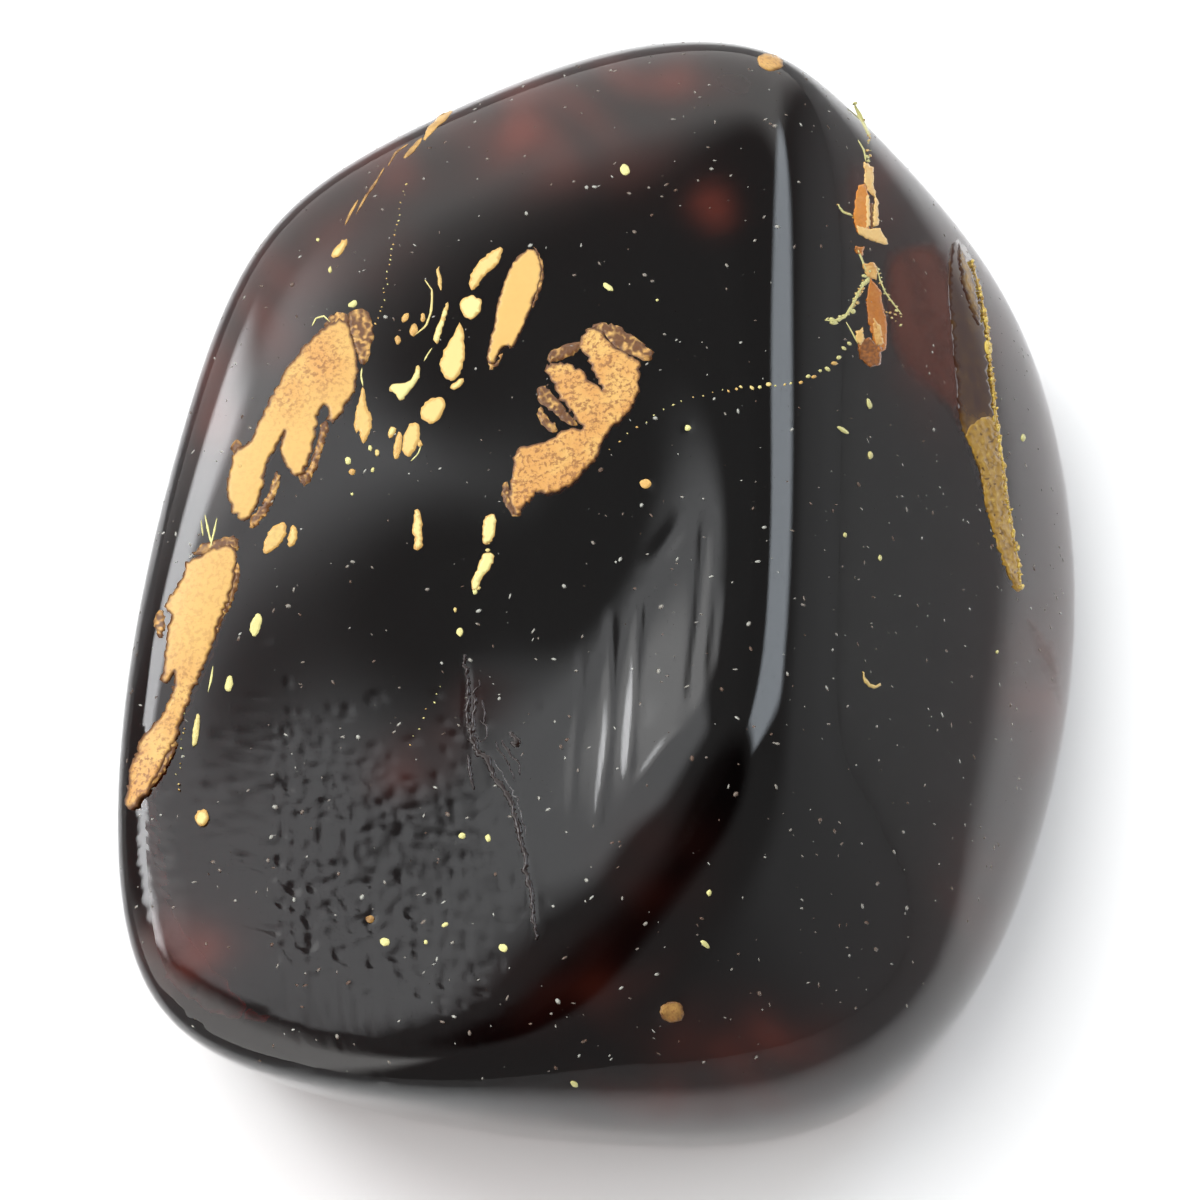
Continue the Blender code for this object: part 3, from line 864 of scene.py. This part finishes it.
# the gold flakes on the right flank
flakeBodies = {
    # outline, tone, lift
    "goldenFlake": (
        (table("858,185 866,184 869,205 869,232 857,232 853,218 855,200"), 1.0, 0.03),
        (table("864,162 874,168 873,186 876,196 870,194 864,182"), 1.8, 0.03),
        (table("866,196 869,196 870,226 866,228"), 2.0, 0.06),
        (table("874,194 878,200 878,226 873,226"), 2.0, 0.06),
        (table("870,203 873,203 873,230 870,230"), 0.0, 0.02),
        (table("857,226 870,229 880,228 888,245 872,241 858,234"), 2.0, 0.06),
        (table("855,246 864,247 863,256 856,253"), 0.6, 0.02),
    ),
    "orangeFlake": (
        (table("862,264 874,262 878,270 876,280 866,276"), 1.6, 0.03),
        (table("870,278 880,290 887,325 886,350 878,352 870,330 866,300"), 1.0, 0.03),
        (table("857,340 870,338 882,348 880,364 870,368 860,358"), 0.4, 0.04),
        (table("856,332 862,328 864,338 861,346 856,342"), 2.0, 0.06),
        (table("873,318 880,326 884,344 877,346 873,332"), 1.6, 0.05),
    ),
}
flakeKinds = (("goldenFlake", "flake", "golden_flake"), ("orangeFlake", "orange", "orange_flake"))
for name, finish, node in flakeKinds:
    batch = Batch()
    for outline, tone, lift in flakeBodies[name]:
        body, inside = lens(outline, 1.8, lift, 0.6, 5.0, 0.45, 0.01, True)
        batch.add(body, tone + rng.uniform(-0.25, 0.25, len(body[0])))
    batch.piece(name, finishes[finish], node, (node,))

# the healed crack: dark red inside, gold brown low down, with painted glitter along its outer edge
veinSettings = {
    "edge": table(
        "972,262 980,290 985,315 988,335 990,360 993,385 995,410 999,440 1003,465 1007,500 1011,520 "
        "1015,545 1019,570 1021,588"),
    "low": table(
        "985,415 997,420 1003,465 1011,520 1019,570 1021,592 1016,592 1008,575 1000,555 995,535 988,515 "
        "984,495 980,470 972,450 963,430"),
    "glow": table("957,240 968,254 978,290 984,320 978,330 966,300 958,270"),
    "sparks": 150,
}
batch = Batch()
body, inside = lens(inclusionOutlines["goldenVein"], 4.0, 0.015, 3.0, 24.0, 0.5)
places = onPicture(body[0])[0]
batch.add(body, 0.25 * smoothStep(places[:, 1], 400, 430) + 0.1)
body, inside = lens(veinSettings["low"], 3.0, 0.03, 1.0, 8.0, 0.8, 0.01)
batch.add(body, 0.9 + 0.5 * rng.uniform(-1, 1, len(body[0])))
# painted glow: a lighter brown patch near the vein's top
body, inside = lens(veinSettings["glow"], 3.0, 0.025, 0.5, 8.0, 0.6)
batch.add(body, 0.9 * smoothStep(inside, 0, 9))
# painted glints: bright gold sparks strewn along the outer edge, and a bright thread on it
edge = resampled(veinSettings["edge"], 1.0, closed=False)
for k in range(veinSettings["sparks"]):
    x, y = edge[rng.integers(len(edge))] + rng.normal(0, 1.0, 2)
    size = rng.uniform(1.6, 4.2)
    spark = spot(x, y, size, size * rng.uniform(0.8, 2.2), rng.uniform(-20, 20), 5)
    body, inside = lens(spark, 2.0, 0.06, 0.3, 2.0, 0, 0.02)
    batch.add(body, rng.uniform(1.0, 2.0))
batch.add(strand(veinSettings["edge"], 3.0, 0.04, 0.15, 3.0, 0.5, 0.2), 1.4)
body, inside = lens(table("984,340 991,342 992,355 985,354"), 2.4, 0.06, 0.4, 4.0)
batch.add(body, 2.0)
batch.piece("goldenVein", finishes["vein"], "golden_vein", ("golden_vein",))

# thin veils of cloudy resin between the flakes and the vein, whose dark red and brown also paint the glow of
# light through the stone there: outline, tone, cover
veilSettings = (
    (table(
        "880,255 905,240 950,240 962,300 972,400 984,490 974,452 958,424 930,393 "
        "895,362 884,330"), 0.0, 0.75),
    (table("955,238 966,250 980,300 976,330 962,300 956,265"), 1.0, 0.6),
    (table("1022,605 1036,625 1060,650 1064,712 1050,690 1036,655 1028,630"), 0.0, 0.8),
    (table("845,150 858,160 860,200 850,240 846,200"), 0.0, 0.35),
)
batch = Batch()
for outline, tone, cover in veilSettings:
    body, inside = lens(outline, 5.0, 0.012, 0.2, 8.0, 0.8)
    batch.add(body, tone, cover * smoothStep(inside, 0, 16))
batch.piece("amberVeil", finishes["veil"], "dark_amber")
print("flakes done")


def shardTree(settings, material):
    # shards strewn over the faces of a mesh, each a small stretched ball that lies along the polish
    tree = bpy.data.node_groups.new("strewnShards", "GeometryNodeTree")
    face = tree.interface
    face.new_socket("Geometry", in_out="INPUT", socket_type="NodeSocketGeometry")
    for label, value in (("Density", settings["density"]), ("Length", settings["length"] * mm)):
        face.new_socket(label, in_out="INPUT", socket_type="NodeSocketFloat").default_value = value
    face.new_socket("Seed", in_out="INPUT", socket_type="NodeSocketInt").default_value = settings["seed"]
    face.new_socket("Geometry", in_out="OUTPUT", socket_type="NodeSocketGeometry")

    def add(kind, values, out=0, **options):
        node = tree.nodes.new(kind)
        for key, value in options.items():
            setattr(node, key, value)
        for slot, value in values.items():
            if hasattr(value, "is_output"):
                tree.links.new(value, node.inputs[slot])
            else:
                node.inputs[slot].default_value = value
        return node.outputs[out]

    def chance(low, high, seed):
        return add("FunctionNodeRandomValue", {"Min": low, "Max": high, "Seed": seed}, 1, data_type="FLOAT")

    def math(operation, first, second):
        return add("ShaderNodeMath", {0: first, 1: second}, operation=operation)

    start = tree.nodes.new("NodeGroupInput").outputs
    points = add("GeometryNodeDistributePointsOnFaces", {
        "Mesh": start["Geometry"], "Density": start["Density"], "Seed": start["Seed"]}).node.outputs
    ball = add("GeometryNodeMeshIcoSphere", {"Radius": 0.5, "Subdivisions": 1})
    length = math("MULTIPLY", math("POWER", chance(0.15, 1.0, start["Seed"]), 3.0), start["Length"])
    across = math("MULTIPLY", length, chance(0.25, 0.8, 5))
    scale = add("ShaderNodeCombineXYZ", {"X": length, "Y": across, "Z": 0.05 * mm})
    around = add("ShaderNodeCombineXYZ", {"Z": chance(-3.14, 3.14, 9)})
    turned = add("FunctionNodeRotateRotation", {
        "Rotation": points["Rotation"], "Rotate By": around}, rotation_space="LOCAL")
    strewn = add("GeometryNodeInstanceOnPoints", {
        "Points": points["Points"], "Instance": ball, "Rotation": turned, "Scale": scale})
    real = add("GeometryNodeRealizeInstances", {"Geometry": strewn})
    coated = add("GeometryNodeSetMaterial", {"Geometry": real, "Material": material})
    tree.links.new(coated, tree.nodes.new("NodeGroupOutput").inputs[0])
    return tree


shardSettings = {"density": 380000.0, "length": 0.5, "seed": 4}


def strewShards(name, settings, finish, slot):
    # strewn over the stone's upper faces, then kept as plain mesh
    keep = [p for p in stone.data.polygons if p.normal.z > 0.45]
    used = sorted({i for p in keep for i in p.vertices})
    index = {old: new for new, old in enumerate(used)}
    skin = bpy.data.meshes.new(name + "Skin")
    corners = [tuple(stone.data.vertices[i].co) for i in used]
    skin.from_pydata(corners, [], [[index[i] for i in p.vertices] for p in keep])
    holder = addObject(name + "Holder", skin)
    modifier = holder.modifiers.new("shards", "NODES")
    tree = shardTree(settings, finish)
    modifier.node_group = tree
    for item in tree.interface.items_tree:
        if item.in_out == "INPUT" and item.socket_type != "NodeSocketGeometry":
            modifier[item.identifier] = item.default_value
    graph = bpy.context.evaluated_depsgraph_get()
    mesh = bpy.data.meshes.new_from_object(holder.evaluated_get(graph))
    bpy.data.objects.remove(holder)
    mesh.name = name
    mesh.shade_smooth()
    mesh.materials.clear()
    mesh.materials.append(finish)
    pieces.append((addObject(name, mesh), slot, ()))
    return len(mesh.polygons)


def shardFinish():
    f = Finish("shards")
    share = f.noise(700.0, 1.0).between(0.35, 0.65)
    colour = f.mix(share, (0.55, 0.56, 0.5), (0.16, 0.10, 0.07))
    return f.set(Base_Color=colour, Roughness=0.35, Alpha=0.55)


print("shards", strewShards("dustShards", shardSettings, shardFinish(), "cream_crust"), "faces")

paper = Finish("paper")
far = paper.node("ShaderNodeVectorMath", {"operation": "LENGTH"}, out="Value", Vector=paper.place())
# painted shade: the paper turns grey from about 7 to 12 cm out from its middle, so the stone's low sides
# mirror a dim floor
paperWithPaintedShade = paper.mix(far.between(0.072, 0.115), (0.93, 0.93, 0.93), (0.3, 0.3, 0.3))
paperMesh = bpy.data.meshes.new("paper")
paperMesh.from_pydata([(-1, -1, 0), (1, -1, 0), (1, 1, 0), (-1, 1, 0)], [], [(0, 1, 2, 3)])
paperMesh.materials.append(paper.set(Base_Color=paperWithPaintedShade, Roughness=0.9))
paperSheet = addObject("paper", paperMesh)
paperSheet.location = (0, 0.01, -0.05 * mm)

# what the polish mirrors: soft-edged bright patches of a dim room, each with its
# azimuths, elevations, softness of both, brightness and colour
roomPatches = {
    "back": (60, 150, -5, 49.65, 20, 8, 1.4, (1.0, 0.99, 0.97)),
    "left": (170, 240, -5, 55, 16, 14, 2.2, (1.0, 0.99, 0.97)),
    "windowLeft": (123.8, 160, 40, 60.9, 8, 8, 1.45, (0.96, 0.98, 1.0)),
    "lamp": (136, 164, 26, 42, 8, 6, 9.0, (0.97, 0.98, 1.0)),
    "windowRight": (30, 62, 43, 68, 8, 6, 4.4, (0.84, 0.92, 1.0)),
    "right": (-40, 40, -5, 35, 30, 20, 0.3, (0.95, 0.97, 1.0)),
}
roomLevel = 0.27
darkAbove = (66, 78)
inDegrees = 57.29578


def roomWorld():
    made = bpy.data.worlds.new("room")
    made.use_nodes = True
    tree = made.node_tree
    background = tree.nodes["Background"]
    coordinates = tree.nodes.new("ShaderNodeTexCoord")
    split = tree.nodes.new("ShaderNodeSeparateXYZ")
    tree.links.new(coordinates.outputs["Generated"], split.inputs[0])
    x, y, z = (Shade(tree, split.outputs[k]) for k in range(3))
    azimuth = y.math("ARCTAN2", x) * inDegrees
    elevation = z.math("ARCSINE") * inDegrees
    total = Shade(tree, tree.nodes.new("ShaderNodeValue").outputs[0])
    total.socket.default_value = roomLevel
    channels = [total, total, total]
    for az0, az1, el0, el1, softAz, softEl, level, colour in roomPatches.values():
        off = (azimuth - (az0 + az1) / 2).math("WRAP", 180.0, -180.0).math("ABSOLUTE")
        half = (az1 - az0) / 2
        share = 1.0 - off.between(half - softAz / 2, half + softAz / 2)
        share = share * elevation.between(el0 - softEl / 2, el0 + softEl / 2)
        share = share * (1.0 - elevation.between(el1 - softEl / 2, el1 + softEl / 2)) * level
        channels = [channel + share * part for channel, part in zip(channels, colour)]
    dark = 1.0 - elevation.between(*darkAbove) * 0.9
    join = tree.nodes.new("ShaderNodeCombineColor")
    for slot, channel in zip(join.inputs, channels):
        feed(tree, slot, channel * dark)
    tree.links.new(join.outputs[0], background.inputs["Color"])
    return made


scene.world = roomWorld()


# azimuth, elevation and brightness of each panel light
panels = {"keyLight": (145, 66, 2.8), "fillLight": (-25, 55, 1.6)}
panelSettings = {"size": 700, "distance": 900, "towards": (0.0, 0.0, 25.0)}


def addPanel(name, azimuth, elevation, radiance):
    # an area light, hidden from reflections, whose own surface has this radiance
    light = bpy.data.lights.new(name, "AREA")
    light.shape = "RECTANGLE"
    light.size = light.size_y = panelSettings["size"] * mm
    light.energy = radiance * np.pi * light.size * light.size_y
    panel = addObject(name, light)
    centre = (np.array(panelSettings["towards"]) - planMiddle) * mm
    panel.location = centre + direction(azimuth, elevation) * panelSettings["distance"] * mm
    panel.rotation_euler = Vector(direction(azimuth, elevation)).to_track_quat("Z", "Y").to_euler()
    panel.visible_glossy = False


for name, values in panels.items():
    addPanel(name, *values)

camera = bpy.data.cameras.new("camera")
camera.sensor_width = 36
camera.lens = focal / view["width"] * 36
camera.clip_start, camera.clip_end = 0.01, 10
cameraObject = addObject("camera", camera)
turn = Matrix([viewRight, viewUp, viewBack]).transposed().to_4x4()
cameraObject.matrix_world = Matrix.Translation(Vector((eye - planMiddle) * mm)) @ turn
scene.camera = cameraObject
scene.view_settings.view_transform = "Standard"

for piece, slot, replaced in pieces:
    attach(piece, "root")
    if replaced:
        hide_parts(*replaced)
for name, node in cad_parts.items():
    # each CAD node gets the finish of the piece that stands in for it
    node.data.materials.clear()
    shown = next(piece for piece, slot, replaced in pieces if name in replaced)
    node.data.materials.append(shown.data.materials[0])
